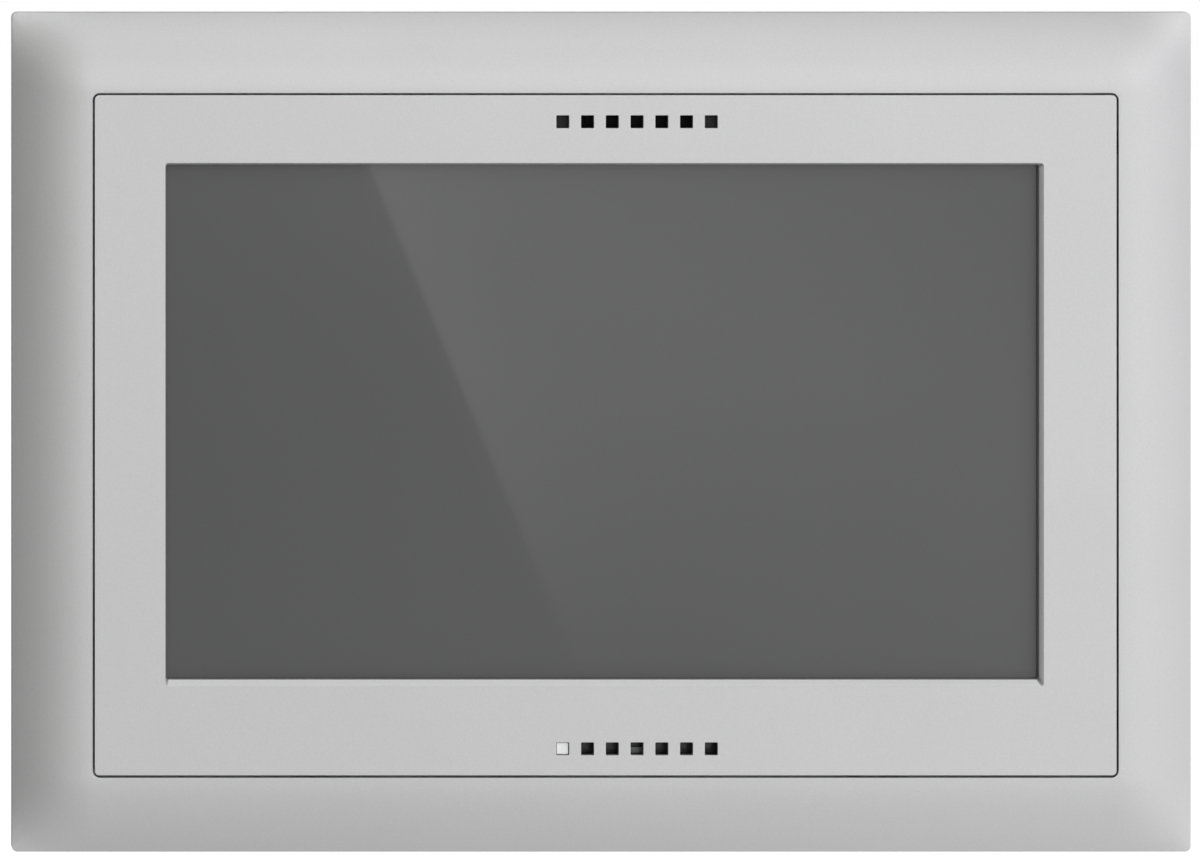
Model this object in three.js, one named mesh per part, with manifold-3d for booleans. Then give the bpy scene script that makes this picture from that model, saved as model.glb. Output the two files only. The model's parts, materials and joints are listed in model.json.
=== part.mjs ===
// Wall-mounted touch panel with a clip-on cover frame, modelled as an assembly of separate pieces.
// Millimetres, X to the right as seen from the room, Z up. The wall plane is Y = 0 while the pieces
// are built and the room is on the -Y side. The whole panel is then moved so that the origin is the
// centre of its bounding box.
import * as THREE from "three";
import { mergeVertices } from "three/addons/utils/BufferGeometryUtils.js";
import Module from "manifold-3d";

const wasm = await Module();
wasm.setup();

// ---------------------------------------------------------------- driving dimensions

const GAP = 0.05; // between two pieces that rest on one another
const CLEAR = 0.3; // round a piece in its pocket, hole or slot
const OVER = 1; // how far a cutting tool runs past the surface that it opens
const SINK = 0.5; // how far joined solids run into one another

const BEZEL = { width: 182.5, height: 121.5, corner: 0.8, face: -8.6, back: -3.4, plate: 1.6, wall: 1.5 };
const GROOVE = 0.35; // visible gap all round between the bezel and the cover frame
const COVER = { width: 212, height: 151, corner: 1, innerCorner: 1.3, skirt: 2.4, rise: 5.8, wall: 2 };
COVER.band = (COVER.width - BEZEL.width) / 2 - GROOVE;
COVER.lip = { width: 1.8, depth: 3 };

const DISPLAY_RISE = 1.9; // the display sits this far above the bezel's centre
// The window's bevelled edge: how far it slopes inwards on each side, and how deep it is.
const WINDOW = {
  width: 156.85, height: 93.4, x: -0.22, corner: 0.5, depth: 0.6,
  left: 0.14, right: 0.68, top: 0.28, bottom: 1.08,
};
const GASKET = { width: 160, height: 96.4, corner: 1, sleeve: 0.4 };
const GLASS = { width: 165, height: 101, corner: 1, front: -6.65, thickness: 2.85 };
const LCD = { width: 165, height: 104, front: -3.7, depth: 5, skin: 0.4, lip: 5 };
const PANES = {
  upperWidth: 160, upperHeight: 97, lowerWidth: 162, lowerHeight: 101, step: 2, thickness: 0.7,
};
const BACKLIGHT = { width: 163.6, height: 102.6 };

const VENT = { side: 2.3, pitch: 4.42, count: 7, rowX: 5.6, rowZ: 56 };
const KEY = { side: 2.05, travel: 0.5, recess: 0.5, corner: 0.12, draft: 0.02, foot: 3.2, stem: 1.2 };
const KEY_SWITCH = { side: 3.2, height: 0.7, plunger: 0.6, plungerHeight: 0.95 };
const STATUS_LED = { width: 1.2, height: 0.6, depth: 0.5, beside: 2.6 };
const FRONT_BOARD = { width: 40, height: 7.4, z: -55.3, front: -4.4, thickness: 0.8 };
const MICROPHONE = { width: 3.4, height: 1, depth: 1.2, drop: 0.65, port: 0.25, portX: 0.9 };
const SPEAKER = { width: 33, height: 4.4, z: 56.3, front: -6.9, depth: 3.2, wall: 0.6, end: 4.6 };
const DIAPHRAGM = { play: 0.15, front: 0.9, thickness: 0.3, dome: 0.5, domeInset: 3, domeMargin: 0.7 };
const MAGNET = { width: 12, front: 1.4, play: 0.2 };

const CARRIER = {
  width: 178.6, height: 117.6, front: -3.3, flange: 1.2,
  rim: 1.2, plateFront: 1.9, plate: 2, plateCorner: 2, plateMargin: 1,
};
CARRIER.plateBack = CARRIER.plateFront + CARRIER.plate;
const PASSAGE = { width: 110, height: 40, z: -16 }; // opening for the heat spreader and the display cable
const NOTCH = { width: 12, height: 8, x: 20, z: -54.2 }; // where the front cable passes

const REAR = { width: 166, height: 108, front: 4, back: 28, wall: 2, corner: 3 };
REAR.inner = REAR.back - REAR.wall;
const COOLING = { count: 10, pitch: 9, width: 3, height: 14, z: 36, sideFrom: 14, sideTo: 22 };
const BOARD = { width: 136, height: 78, corner: 2, front: 9, thickness: 1.6 };
BOARD.back = BOARD.front + BOARD.thickness;
const ON_BOARD = BOARD.back + GAP; // where the components on the rear of the board stand

const PLATE = {
  width: 198, height: 137, corner: 3, openWidth: 170, openHeight: 111, openCorner: 1.5, thickness: 1.5,
};
const HOOK = { thickness: 1.6, width: 10, inset: 10, onSide: 35, onTop: 50, root: 0.6, tip: -0.3 };
const SPRING = {
  width: 8, thickness: 0.5, foot: 6, bend: 7.7, crestFrom: 10.5, crestTo: 11.9, depth: 14, tail: 0.4,
  bump: 1.9, inset: 0.8, z: 26,
};

const WALL_SCREW = { x: 95.2, z: 52, head: 3.2, headHeight: 1.9, shank: 1.6, reach: 16 };
const COVER_SCREW = { x: 74, z: 43, boss: 3.2, head: 2.6, headHeight: 1.6, shank: 1.1, reach: 11 };
const BOARD_SCREW = { x: 64, z: 35, boss: 3, head: 2.4, headHeight: 1.5, shank: 1.1, reach: 4.5 };
const BEZEL_SCREW = { x: 86.5, z: 30, boss: 2.4, head: 1.7, shank: 0.9, reach: 3.2, recess: 0.2 };

// Places on the rear of the main board, as [x, z].
const AT = {
  ethernet: [-42, -22],
  usb: [-20, -24],
  power: [18, -22],
  bus: [44, -22],
  programButton: [56, 20],
  programLed: [56, 9],
  cell: [-42, 14],
  capacitors: [[6, 12], [17, 12]],
  inductor: [34, 12],
  processor: [-14, 4],
};

const PORT_RECESS = 1.2; // how far the sockets end before the rear face
const ETHERNET = { width: 16, height: 13.4, floor: 3 };
ETHERNET.mouth = { width: 11.8, height: 6.8, z: -0.4 };
ETHERNET.latch = { width: 4, height: 2.4, z: 3.6 };
const USB = { width: 13.2, height: 5.8, skin: 0.5, floor: 4 };
USB.tongue = { width: 11, height: 1.8, z: 1, recess: 0.3 };
const POWER = { width: 12.4, height: 9.4, depth: 9, wall: 1, floor: 1.5, pole: 2.54, pin: 1 };
const PLUG = {
  play: 0.25, nose: 2.2, extra: 2, proud: 3, contact: 1.4, funnelWidth: 3, funnelHeight: 3.2, funnelZ: -2.2,
  funnelDepth: 3, well: 1.9, wellDepth: 2, screwZ: 3, screw: 1.6, screwTop: 1.2, slot: 0.5, slotDepth: 0.7,
};
const BUS = { spacing: 5.75, width: 5.6, height: 11, front: ON_BOARD + 4, back: REAR.back - 0.6 };
const BUS_PIN = { radius: 0.5, foot: 6, footHeight: 2, length: 9, hole: 0.75 };
const BUS_WIRE = { radius: 0.7, x: 1.4, z: 3.6, depth: 2.5 };
const COIN = { radius: 10, rim: 1, thickness: 3.2, base: 0.4, holder: 24, holderTop: 4.6, floor: 1, slot: 8 };
const CAPACITOR = { foot: 8.3, footHeight: 1.2, waist: 3.6, waistTop: 2.2, can: 4, height: 12 };
const INDUCTOR = { side: 12, corner: 3, height: 6, cap: 4.6, capHeight: 6.6 };
const PROGRAM = { switchSide: 6, switchHeight: 3.5, plunger: 1.75, plungerTop: 8, ledBase: 1.9, led: 1.5 };
const BUTTON = { stem: 1.6, stemFrom: 8.6, collar: 3, collarDepth: 1.6, play: 0.2, cap: 1.7, proud: 0.9 };
const PROCESSOR = { base: 19, baseDepth: 0.8, die: 13, depth: 1.5 };
const SPREADER = { width: 38, height: 34, plate: 1, fins: 8, finWidth: 1.4, finPitch: 5, depth: 2.2 };
const RIBBON = { thickness: 0.25, off: 0.2 };

// ---------------------------------------------------------------- materials

const finish = (color, roughness, metalness = 0) =>
  new THREE.MeshStandardMaterial({ color, roughness, metalness });

const LOOK = {
  lacquer: finish(0xbdbebf, 0.42, 0.35),
  glass: finish(0x3a3d40, 0.12),
  cell: finish(0x1d2124, 0.3),
  foam: finish(0x929394, 0.95),
  blackPlastic: finish(0x222325, 0.6),
  greyPlastic: finish(0x6d7072, 0.6),
  backlight: finish(0xe6e7e4, 0.5),
  zincSteel: finish(0xa9acae, 0.38, 0.9),
  springSteel: finish(0x8e9194, 0.3, 0.95),
  screwSteel: finish(0xb6b8ba, 0.3, 0.95),
  aluminium: finish(0xb9bcbf, 0.4, 0.9),
  board: finish(0x1f5a3a, 0.55),
  blackBoard: finish(0x151516, 0.5),
  darkSteel: finish(0x6f7173, 0.4, 0.7),
  chip: finish(0x19191b, 0.6),
  canSleeve: finish(0x2c3646, 0.4),
  clearKey: finish(0xeceeec, 0.35),
  diode: finish(0xe9e4c8, 0.3),
  redDiode: finish(0xc0392b, 0.3),
  flex: finish(0xb5772f, 0.45),
  green: finish(0x3f9a4e, 0.5),
  red: finish(0xb3252a, 0.5),
  paleGrey: finish(0xb8babb, 0.55),
  gold: finish(0xcaa24a, 0.3, 0.95),
  diaphragm: finish(0x1c1c1d, 0.7),
};

// ---------------------------------------------------------------- solids

// A closed three.js geometry as a solid that can be joined and cut.
function solid(geometry) {
  const bare = new THREE.BufferGeometry();
  bare.setAttribute("position", geometry.getAttribute("position").clone());
  if (geometry.index) bare.setIndex(geometry.index.clone());
  const merged = mergeVertices(bare, 1e-4);
  const triVerts = new Uint32Array(merged.index.array);
  const vertProperties = merged.attributes.position.array;
  return new wasm.Manifold(new wasm.Mesh({ numProp: 3, vertProperties, triVerts }));
}

// A solid back as a flat-shaded geometry.
function surface(made) {
  const mesh = made.getMesh();
  const geometry = new THREE.BufferGeometry();
  geometry.setAttribute("position", new THREE.BufferAttribute(mesh.vertProperties, 3));
  geometry.setIndex(new THREE.BufferAttribute(mesh.triVerts, 1));
  const flat = geometry.toNonIndexed();
  flat.computeVertexNormals();
  return flat;
}

const join = (...geometries) => surface(geometries.map(solid).reduce((a, b) => a.add(b)));

const cut = (base, ...tools) =>
  surface(tools.map(solid).reduce((left, tool) => left.subtract(tool), solid(base)));

// A closed mesh from points and the corner numbers of its triangles.
function shell(points, corners) {
  const geometry = new THREE.BufferGeometry();
  geometry.setAttribute("position", new THREE.Float32BufferAttribute(points.flat(), 3));
  geometry.setIndex(corners);
  return geometry;
}

// A block between two corners.
function block([x0, y0, z0], [x1, y1, z1]) {
  const box = new THREE.BoxGeometry(x1 - x0, y1 - y0, z1 - z0);
  return box.translate((x0 + x1) / 2, (y0 + y1) / 2, (z0 + z1) / 2);
}

// A block centred on [x, z], between two depths.
const post = (width, height, y0, y1, [x, z] = [0, 0]) =>
  block([x - width / 2, y0, z - height / 2], [x + width / 2, y1, z + height / 2]);

// A round bar along Y, centred on [x, z], between two depths. back lets it taper.
function rod(radius, y0, y1, [x, z] = [0, 0], segments = 16, back = radius) {
  const bar = new THREE.CylinderGeometry(back, radius, y1 - y0, segments);
  return bar.translate(x, (y0 + y1) / 2, z);
}

// A rectangle with rounded corners, as a closed path.
function roundedRectangle(path, width, height, radius) {
  const [a, b] = [width / 2, height / 2];
  path.moveTo(-a + radius, -b);
  path.lineTo(a - radius, -b);
  path.absarc(a - radius, -b + radius, radius, -Math.PI / 2, 0);
  path.lineTo(a, b - radius);
  path.absarc(a - radius, b - radius, radius, 0, Math.PI / 2);
  path.lineTo(-a + radius, b);
  path.absarc(-a + radius, b - radius, radius, Math.PI / 2, Math.PI);
  path.lineTo(-a, -b + radius);
  path.absarc(-a + radius, -b + radius, radius, Math.PI, 1.5 * Math.PI);
  return path;
}

// A rounded plate facing the room, between two depths, centred on [x, z].
function plate(width, height, radius, y0, y1, [x, z] = [0, 0], curveSegments = 3) {
  const outline = roundedRectangle(new THREE.Shape(), width, height, radius);
  const slab = new THREE.ExtrudeGeometry(outline, { depth: y1 - y0, bevelEnabled: false, curveSegments });
  return slab.rotateX(Math.PI / 2).translate(x, y1, z);
}

// A closed strip of constant width along X, whose outline is a list of [y, z] points.
function strip(points, x0, x1) {
  const outline = new THREE.Shape(points.map(([y, z]) => new THREE.Vector2(-z, y)));
  const slab = new THREE.ExtrudeGeometry(outline, { depth: x1 - x0, bevelEnabled: false });
  return slab.rotateY(Math.PI / 2).translate(x0, 0, 0);
}

// A tapered block between two rounded rectangles: near is at y0 and far at y1.
function taperedPlate(near, far, y0, y1) {
  const cornerSteps = 4;
  const shapes = [near, far].map(({ width, height, radius }) =>
    roundedRectangle(new THREE.Path(), width, height, radius).getPoints(cornerSteps).slice(0, -1));
  const points = shapes.flatMap((loop, end) =>
    loop.map((p) => [p.x + (end ? far : near).x, end ? y1 : y0, p.y + (end ? far : near).z]));
  const count = shapes[0].length;
  const faces = [];
  for (let i = 0; i < count; i++) {
    const next = (i + 1) % count;
    faces.push(i, next, count + next, i, count + next, count + i);
    if (i > 1) {
      faces.push(0, i, i - 1);
      faces.push(count, count + i - 1, count + i);
    }
  }
  return shell(points, faces.reverse());
}

// The four sign pairs of a symmetric pattern.
const CORNERS = [[1, 1], [-1, 1], [-1, -1], [1, -1]];

// What make returns for each [x, z] of a symmetric pattern.
const atCorners = ({ x, z }, make) => CORNERS.map(([sx, sz]) => make([sx * x, sz * z]));

// The cutting tools for a cross recess in a screw head, between two depths.
function crossRecess(length, y0, y1) {
  const slot = length * 0.27;
  return [post(length, slot, y0, y1), post(slot, length, y0, y1)];
}

// A pan-head screw along +Y, its head resting on y = 0 and pointing to -Y.
function panScrew({ head, headHeight, shank, reach }) {
  const crown = head * 0.82;
  const body = join(rod(crown, -headHeight, 0, [0, 0], 18, head), rod(shank, -SINK, reach, [0, 0], 14));
  return cut(body, ...crossRecess(head * 0.9, -headHeight - OVER, -headHeight * 0.45));
}

// ---------------------------------------------------------------- cover frame

// Share of the full rise reached at a distance from an outer edge: a parabola that levels off
// where the band ends.
const swell = (distance) => 1 - (1 - Math.min(distance / COVER.band, 1)) ** 2;

// Height of the cover's front above the wall, at distances u and v from its two nearest edges.
const coverHeight = (u, v) => COVER.skirt + COVER.rise * swell(u) * swell(v);

// One corner of a loop that runs inside the cover's outline at a constant inset, as [u, v] pairs.
function cornerPoints(inset, radius) {
  const alongSide = 4;
  const aroundArc = 3;
  const pastBand = 4;
  const start = inset + radius;
  const end = COVER.band + pastBand;
  const points = [];
  for (let i = alongSide; i > 0; i--) points.push([inset, start + ((end - start) * i) / alongSide]);
  for (let i = 0; i <= aroundArc; i++) {
    const angle = (i / aroundArc) * (Math.PI / 2);
    points.push([start - radius * Math.cos(angle), start - radius * Math.sin(angle)]);
  }
  for (let i = 1; i <= alongSide; i++) points.push([start + ((end - start) * i) / alongSide, inset]);
  return points;
}

// A whole loop at one inset, with each point's height given by a rule of u and v.
function coverLoop(inset, heightAt) {
  const share = inset / COVER.band;
  const radius = COVER.corner + (COVER.innerCorner - COVER.corner) * share;
  return CORNERS.flatMap(([sx, sz]) => {
    const points = cornerPoints(inset, radius);
    if (sx * sz < 0) points.reverse();
    const [x, z] = [(sx * COVER.width) / 2, (sz * COVER.height) / 2];
    return points.map(([u, v]) => [x - sx * u, -heightAt(u, v), z - sz * v]);
  });
}

// The cover's loops in order: skirt, swelling front, lip at the groove, and back along the hollow.
function coverLoops() {
  const steps = 7;
  const lipStart = COVER.band - COVER.lip.width;
  const onWall = () => 0;
  const lipBack = () => COVER.skirt + COVER.rise - COVER.lip.depth;
  const under = (u, v) => coverHeight(u, v) - COVER.wall;
  const loops = [coverLoop(0, onWall)];
  for (let i = 0; i <= steps; i++) loops.push(coverLoop((COVER.band * i) / steps, coverHeight));
  loops.push(coverLoop(COVER.band, lipBack), coverLoop(lipStart, lipBack));
  for (let i = 0; i < steps; i++) {
    loops.push(coverLoop(lipStart + ((COVER.wall - lipStart) * i) / (steps - 1), under));
  }
  loops.push(coverLoop(COVER.wall, onWall));
  return loops;
}

function coverShell() {
  const loops = coverLoops();
  const around = loops[0].length;
  const faces = [];
  loops.forEach((_, row) => {
    const here = row * around;
    const there = ((row + 1) % loops.length) * around;
    for (let i = 0; i < around; i++) {
      const next = (i + 1) % around;
      faces.push(here + i, here + next, there + next, here + i, there + next, there + i);
    }
  });
  return shell(loops.flat(), faces);
}

// Where the hooks stand, as [x, z, along], along being the axis of the hook's width.
function hookPlaces() {
  const [x, z] = [COVER.width / 2 - HOOK.inset, COVER.height / 2 - HOOK.inset];
  return CORNERS.flatMap(([sx, sz]) => [
    [sx * x, sz * HOOK.onSide, "z"],
    [sx * HOOK.onTop, sz * z, "x"],
  ]);
}

// One hook, or with slack the slot that it stands in.
function hook([x, z, along], y0, y1, slack = 0) {
  const thick = HOOK.thickness + 2 * slack;
  const wide = HOOK.width + 2 * slack;
  return along === "z" ? post(thick, wide, y0, y1, [x, z]) : post(wide, thick, y0, y1, [x, z]);
}

function coverFrame() {
  const root = -coverHeight(HOOK.inset, COVER.band) + COVER.wall - HOOK.root;
  return join(coverShell(), ...hookPlaces().map((place) => hook(place, root, HOOK.tip)));
}

// ---------------------------------------------------------------- wall mount

// Sheet-steel support plate: a ring with slots for the cover's hooks and screw holes.
function mountingFrame() {
  const { width, height, corner, openWidth, openHeight, openCorner, thickness } = PLATE;
  const through = [-thickness - OVER, OVER];
  const slots = hookPlaces().map((place) => hook(place, ...through, CLEAR));
  const holes = atCorners(WALL_SCREW, (at) => rod(WALL_SCREW.shank + CLEAR, ...through, at));
  return cut(
    plate(width, height, corner, -thickness, 0),
    plate(openWidth, openHeight, openCorner, ...through),
    ...slots, ...holes);
}

// Leaf spring: a foot on the sheet's rear face, a leaf running back and an inward bump near its end.
function retainingSpring() {
  const { width, thickness: t, foot, bend, crestFrom, crestTo, depth, tail, bump } = SPRING;
  const outline = [
    [0, foot], [t, foot], [t, t], [bend, t], [crestFrom, t - bump], [crestTo, t - bump], [depth, t + tail],
    [depth, tail], [crestTo, -bump], [crestFrom, -bump], [bend, 0], [0, 0],
  ];
  const shape = new THREE.Shape(outline.map(([y, x]) => new THREE.Vector2(x, y)));
  const leaf = new THREE.ExtrudeGeometry(shape, { depth: width, bevelEnabled: false });
  return leaf.translate(0, 0, -width / 2);
}

// ---------------------------------------------------------------- front of the display unit

// The openings of one vent row, as [x, z] centres.
const ventRow = (z) =>
  Array.from({ length: VENT.count }, (_, i) => [VENT.rowX + (i - (VENT.count - 1) / 2) * VENT.pitch, z]);

const [KEY_AT, , , MICROPHONE_AT] = ventRow(-VENT.rowZ);

// The window's outline at a share of the bevel's depth.
function windowAt(share) {
  const { width, height, corner, left, right, top, bottom } = WINDOW;
  return {
    width: width - (left + right) * share,
    height: height - (top + bottom) * share,
    radius: corner,
    x: WINDOW.x + ((left - right) * share) / 2,
    z: DISPLAY_RISE + ((bottom - top) * share) / 2,
  };
}

// A plate with the outline of the window behind its bevel, grown by a margin.
function windowPlate(margin, y0, y1) {
  const { width, height, radius, x, z } = windowAt(1);
  return plate(width + 2 * margin, height + 2 * margin, radius + margin, y0, y1, [x, z]);
}

// What is cut out of the bezel for the window: the bevelled edge and the wider seat of the gasket.
function windowVoids() {
  const bevelBack = BEZEL.face + WINDOW.depth;
  return [
    taperedPlate(windowAt(-OVER / WINDOW.depth), windowAt(1), BEZEL.face - OVER, bevelBack),
    windowPlate(GASKET.sleeve, bevelBack, BEZEL.face + BEZEL.plate + OVER),
  ];
}

// Front frame of the display unit: face plate with a bevelled window, outer wall, vents and bosses.
function bezel() {
  const { width, height, corner, face, back, plate: skin, wall } = BEZEL;
  const behind = face + skin;
  const tray = cut(
    plate(width, height, corner, face, back),
    plate(width - 2 * wall, height - 2 * wall, corner, behind, back + OVER));
  const { boss, shank } = BEZEL_SCREW;
  const bosses = atCorners(BEZEL_SCREW, (at) => rod(boss, behind - SINK, CARRIER.front - GAP, at));
  const pilots = atCorners(BEZEL_SCREW, (at) => rod(shank + GAP, behind, back + OVER, at, 14));
  const vents = [...ventRow(VENT.rowZ), ...ventRow(-VENT.rowZ)].map((at) =>
    post(VENT.side, VENT.side, face - OVER, behind + OVER, at));
  return cut(join(tray, ...bosses), ...windowVoids(), ...pilots, ...vents);
}

// Foam seal round the window: a sleeve behind the bevel and a flange between the bezel and the glass.
function windowGasket() {
  const { width, height, corner, sleeve } = GASKET;
  const back = GLASS.front - GAP;
  const ring = join(
    windowPlate(sleeve - GAP, BEZEL.face + WINDOW.depth + GAP, back),
    plate(width, height, corner, BEZEL.face + BEZEL.plate + GAP, back, [0, DISPLAY_RISE]));
  return cut(ring, windowPlate(0, BEZEL.face, back + OVER));
}

// Cover glass bonded to the touch sensor.
function touchGlass() {
  const { width, height, corner, front, thickness } = GLASS;
  return plate(width, height, corner, front, front + thickness, [0, DISPLAY_RISE]);
}

// Folded sheet frame of the display module: a front lip and four thin walls.
function lcdFrame() {
  const { width, height, front, depth, skin, lip } = LCD;
  const at = [0, DISPLAY_RISE];
  const back = front + depth;
  return cut(
    post(width, height, front, back, at),
    post(width - 2 * skin, height - 2 * skin, front + skin, back + OVER, at),
    post(width - 2 * lip, height - 2 * lip, front - OVER, back, at));
}

// The two panes of the display cell, with the lower one standing out for its drivers.
function lcdCell() {
  const front = LCD.front + LCD.skin + GAP;
  const middle = front + PANES.thickness;
  return join(
    post(PANES.upperWidth, PANES.upperHeight, front, middle, [0, DISPLAY_RISE + PANES.step]),
    post(PANES.lowerWidth, PANES.lowerHeight, middle - GAP, middle + PANES.thickness, [0, DISPLAY_RISE]));
}

function backlightPanel() {
  const front = LCD.front + LCD.skin + 2 * PANES.thickness + 2 * GAP;
  return post(BACKLIGHT.width, BACKLIGHT.height, front, LCD.front + LCD.depth - GAP, [0, DISPLAY_RISE]);
}

// Screw bosses on the carrier's back plate, up to a depth.
const carrierBosses = (screw, top) =>
  atCorners(screw, (at) => rod(screw.boss, CARRIER.plateBack - SINK, top, at));

// Pilot holes in those bosses, between two depths.
const carrierPilots = (screw, y0, y1) =>
  atCorners(screw, (at) => rod(screw.shank + GAP, y0, y1, at, 14));

// Countersunk hole through the carrier's flange, open to the rear.
function flangeSeat(at) {
  const { head, shank, recess } = BEZEL_SCREW;
  const [front, back] = [CARRIER.front, CARRIER.front + CARRIER.flange];
  const play = 3 * GAP;
  return join(
    rod(shank + play, front - OVER, back + OVER, at, 14),
    rod(shank + play, front + recess, back + GAP / 5, at, 18, head + play));
}

// Mid frame: a flange behind the bezel, a rim round the display module and a back plate with bosses.
function carrierFrame() {
  const { width, height, front, flange, rim, plateFront, plateBack, plateCorner, plateMargin } = CARRIER;
  const [rimWidth, rimHeight] = [LCD.width + 2 * rim, LCD.height + 2 * rim];
  const insideRear = REAR.height - 2 * REAR.wall - plateMargin;
  const body = join(
    post(width, height, front, front + flange),
    post(rimWidth, rimHeight, front, plateBack, [0, DISPLAY_RISE]),
    plate(rimWidth, insideRear, plateCorner, plateFront, plateBack),
    ...carrierBosses(COVER_SCREW, REAR.inner - GAP),
    ...carrierBosses(BOARD_SCREW, BOARD.front - GAP));
  return cut(
    body,
    post(LCD.width + 2 * CLEAR, LCD.height + 2 * CLEAR, front - OVER, plateFront, [0, DISPLAY_RISE]),
    post(PASSAGE.width, PASSAGE.height, plateFront - OVER, plateBack + OVER, [0, PASSAGE.z]),
    post(NOTCH.width, NOTCH.height, front - OVER, plateBack + OVER, [NOTCH.x, NOTCH.z]),
    ...carrierPilots(COVER_SCREW, REAR.back - COVER_SCREW.reach - OVER, REAR.back),
    ...carrierPilots(BOARD_SCREW, plateBack + SINK, BOARD.front + OVER),
    ...atCorners(BEZEL_SCREW, flangeSeat));
}

// Countersunk screw that enters from behind, its head flush with the flange's rear face at y = 0.
function countersunkScrew() {
  const { head, shank, reach, recess } = BEZEL_SCREW;
  const cone = CARRIER.flange - recess;
  const body = join(
    rod(shank, -cone, 0, [0, 0], 18, head),
    rod(shank, -cone - reach, -cone + 2 * GAP, [0, 0], 14));
  return cut(body, ...crossRecess(head * 1.1, -cone * 0.6, OVER));
}

// ---------------------------------------------------------------- sound, status key, front board

const SPEAKER_AT = [VENT.rowX, SPEAKER.z];

// Open tray of the slim speaker, with its sound side towards the vents.
function speakerHousing() {
  const { width, height, front, depth, wall, end } = SPEAKER;
  return cut(
    post(width, height, front, front + depth, SPEAKER_AT),
    post(width - 2 * end, height - 2 * wall, front - OVER, front + depth - wall, SPEAKER_AT));
}

// Stiff oblong diaphragm with a raised centre.
function speakerDiaphragm() {
  const { width, height, front: mouth, wall, end } = SPEAKER;
  const { play, front, thickness, dome, domeInset, domeMargin } = DIAPHRAGM;
  const [span, rise] = [width - 2 * end, height - 2 * wall];
  const rim = mouth + front;
  return join(
    post(span - 2 * play, rise - 2 * play, rim, rim + thickness, SPEAKER_AT),
    post(span - 2 * domeInset, rise - 2 * domeMargin, mouth + dome, rim + thickness / 2, SPEAKER_AT));
}

function speakerMagnet() {
  const { height, front, depth, wall } = SPEAKER;
  const rise = height - 2 * wall - 2 * MAGNET.play;
  return post(MAGNET.width, rise, front + MAGNET.front, front + depth - wall - GAP, SPEAKER_AT);
}

const frontBoard = () =>
  post(FRONT_BOARD.width, FRONT_BOARD.height, FRONT_BOARD.front, FRONT_BOARD.front + FRONT_BOARD.thickness,
    [VENT.rowX, FRONT_BOARD.z]);

// The face on which the components of the front board stand, towards the room.
const ON_FRONT_BOARD = FRONT_BOARD.front - GAP;

// Slim metal can of the microphone, with its sound port.
function microphone() {
  const { width, height, depth, port, portX } = MICROPHONE;
  const front = ON_FRONT_BOARD - depth;
  return cut(
    post(width, height, front, ON_FRONT_BOARD),
    rod(port, front - OVER, ON_FRONT_BOARD - depth / 3, [portX, 0], 10));
}

// Push switch under the status key: square body and round plunger.
function keySwitch() {
  const { side, height, plunger, plungerHeight } = KEY_SWITCH;
  return join(
    post(side, side, ON_FRONT_BOARD - height, ON_FRONT_BOARD),
    rod(plunger, ON_FRONT_BOARD - plungerHeight, ON_FRONT_BOARD - height + 2 * GAP, [0, 0], 14));
}

const statusLed = () =>
  post(STATUS_LED.width, STATUS_LED.height, ON_FRONT_BOARD - STATUS_LED.depth, ON_FRONT_BOARD);

// Light-guiding key: a square cap in the vent opening on a wider foot that retains it.
function statusKey() {
  const { side, travel, recess, corner, draft, foot, stem } = KEY;
  const footFront = BEZEL.face + BEZEL.plate + 2 * GAP;
  const footBack = footFront + SINK;
  const back = ON_FRONT_BOARD - KEY_SWITCH.plungerHeight - travel - GAP;
  const cap = taperedPlate(
    { width: side - draft, height: side - draft, radius: corner, x: 0, z: 0 },
    { width: side, height: side, radius: corner, x: 0, z: 0 },
    BEZEL.face + recess, footFront + CLEAR);
  return join(cap, post(foot, foot, footFront, footBack), post(stem, stem, footBack - 2 * GAP, back));
}

// ---------------------------------------------------------------- main board and its components

function mainBoard() {
  const { width, height, corner, front, back } = BOARD;
  const holes = atCorners(BOARD_SCREW, (at) =>
    rod(BOARD_SCREW.shank + CLEAR, front - OVER, back + OVER, at, 14));
  return cut(plate(width, height, corner, front, back), ...holes);
}

const SOCKET_BACK = REAR.back - PORT_RECESS;

// Shielded network socket that opens to the rear, with the slot for the plug's latch.
function ethernetJack() {
  const { width, height, floor, mouth, latch } = ETHERNET;
  const hollow = [ON_BOARD + floor, SOCKET_BACK + OVER];
  return cut(
    post(width, height, ON_BOARD, SOCKET_BACK),
    post(mouth.width, mouth.height, ...hollow, [0, mouth.z]),
    post(latch.width, latch.height, ...hollow, [0, latch.z]));
}

// Service port with its tongue.
function usbPort() {
  const { width, height, skin, floor, tongue } = USB;
  const bottom = ON_BOARD + floor;
  const can = cut(
    post(width, height, ON_BOARD, SOCKET_BACK),
    post(width - 2 * skin, height - 2 * skin, bottom, SOCKET_BACK + OVER));
  const blade = post(tongue.width, tongue.height, bottom - SINK, SOCKET_BACK - tongue.recess, [0, tongue.z]);
  return join(can, blade);
}

// What make returns for each of the power connector's two poles.
const atPoles = (make) => [-POWER.pole, POWER.pole].map((x) => make(x));

// Two-pole header: an open box with two pins.
function powerSocket() {
  const { width, height, depth, wall, floor, pin } = POWER;
  const mouth = ON_BOARD + depth;
  const box = cut(
    post(width, height, ON_BOARD, mouth),
    post(width - 2 * wall, height - 2 * wall, ON_BOARD + floor, mouth + OVER));
  return join(box, ...atPoles((x) => post(pin, pin, ON_BOARD + floor - SINK, mouth - pin, [x, 0])));
}

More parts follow.
